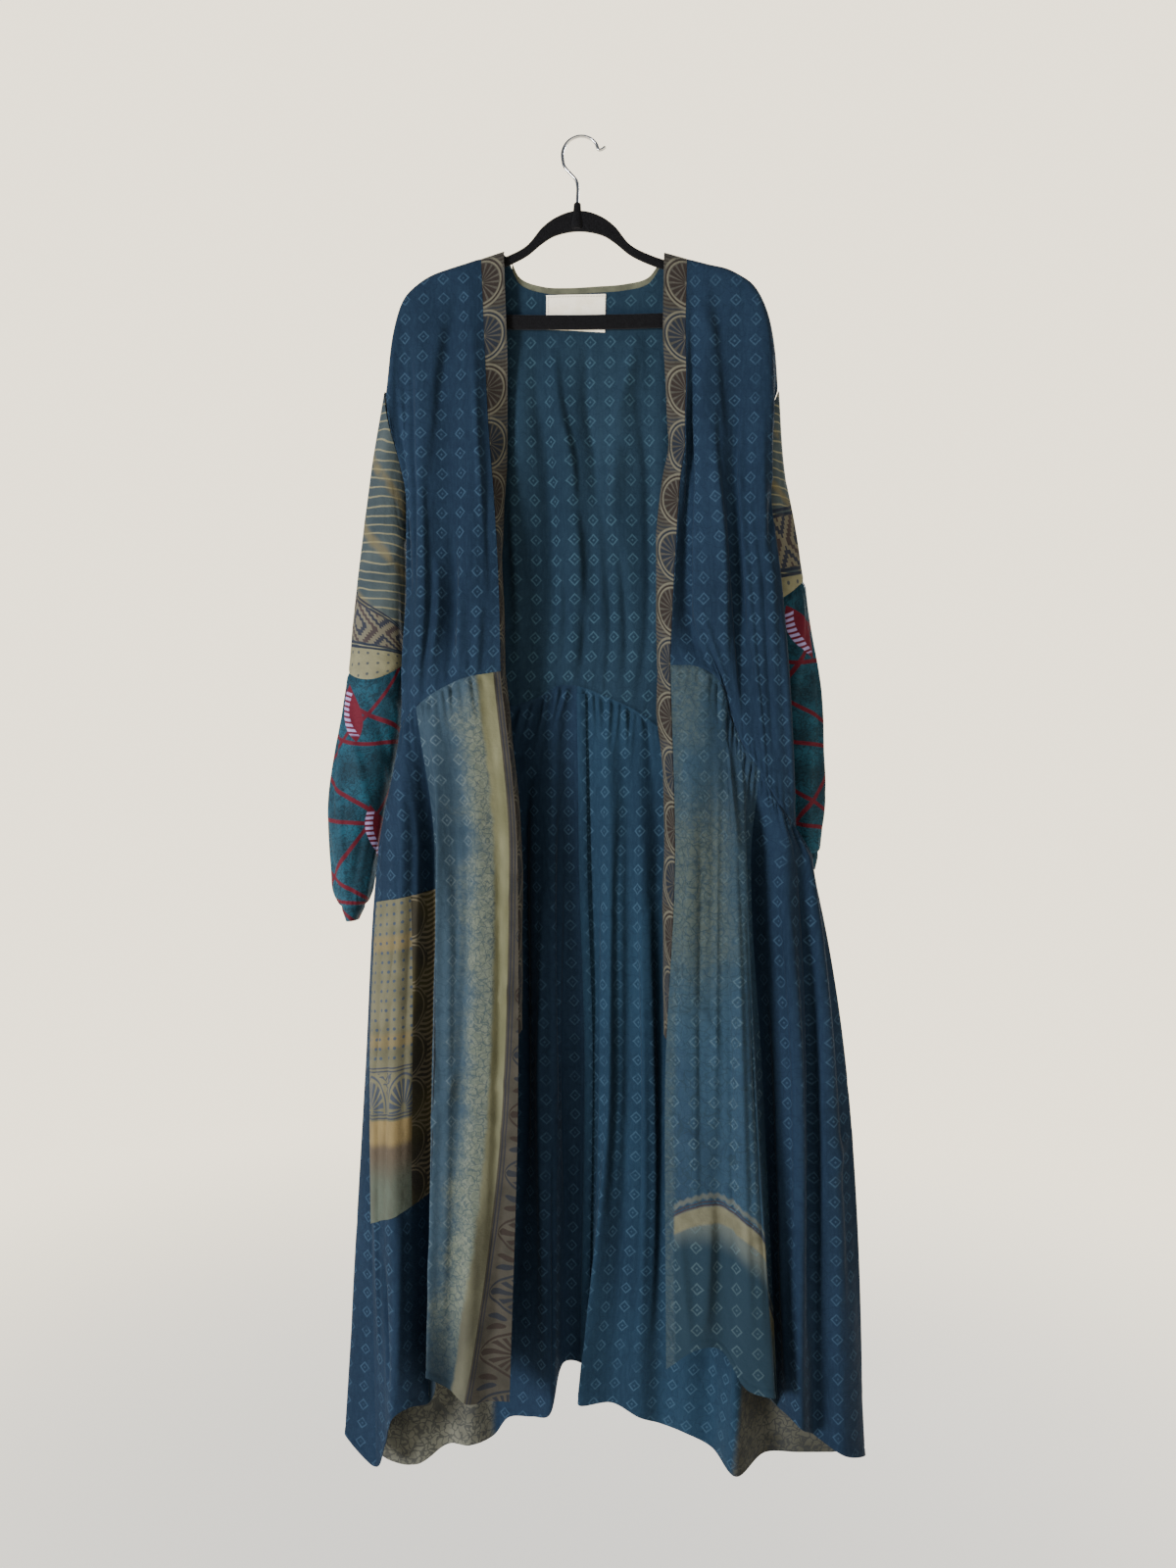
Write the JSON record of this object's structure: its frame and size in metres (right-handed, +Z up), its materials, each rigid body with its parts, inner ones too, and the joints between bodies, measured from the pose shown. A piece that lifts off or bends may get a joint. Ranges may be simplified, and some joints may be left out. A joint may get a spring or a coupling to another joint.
{
  "type": "kimono on a hanger",
  "caption": "Long open-fronted patchwork kimono robe with gathered skirt and full sleeves, hanging on a flat velvet hanger with a wire hook.",
  "frame": {"origin": "inner top of the hanger's hook, where the piece hangs", "axes": "+Z up, -Y the open front, +X the viewer's right"},
  "size_m": [0.6544, 0.1167, 1.6182],
  "materials": {
    "indigo_cloth": "matt",
    "teal_cloth": "matt",
    "slate_cloth": "matt",
    "band_cloth": "matt",
    "beige_cloth": "matt",
    "label_cloth": "matt",
    "velvet": "flocked",
    "steel": "polished"
  },
  "bodies": {
    "root": {"skirt_front_l": "indigo_cloth", "skirt_side_l": "indigo_cloth", "skirt_back_l": "indigo_cloth", "skirt_back_r": "indigo_cloth", "skirt_side_r": "indigo_cloth", "skirt_front_r": "indigo_cloth", "bodice_front_l": "indigo_cloth", "bodice_front_r": "indigo_cloth", "bodice_back": "indigo_cloth", "band_front_l": "band_cloth", "band_front_r": "band_cloth", "band_neck_back": "slate_cloth", "label": "label_cloth", "patch_side": "beige_cloth", "sleeve_upper_l": "slate_cloth", "sleeve_lower_l": "teal_cloth", "cuff_l": "teal_cloth", "sleeve_upper_r": "slate_cloth", "sleeve_lower_r": "teal_cloth", "cuff_r": "teal_cloth", "hanger_frame": "velvet", "hanger_hook": "steel"}
  },
  "joints": []
}
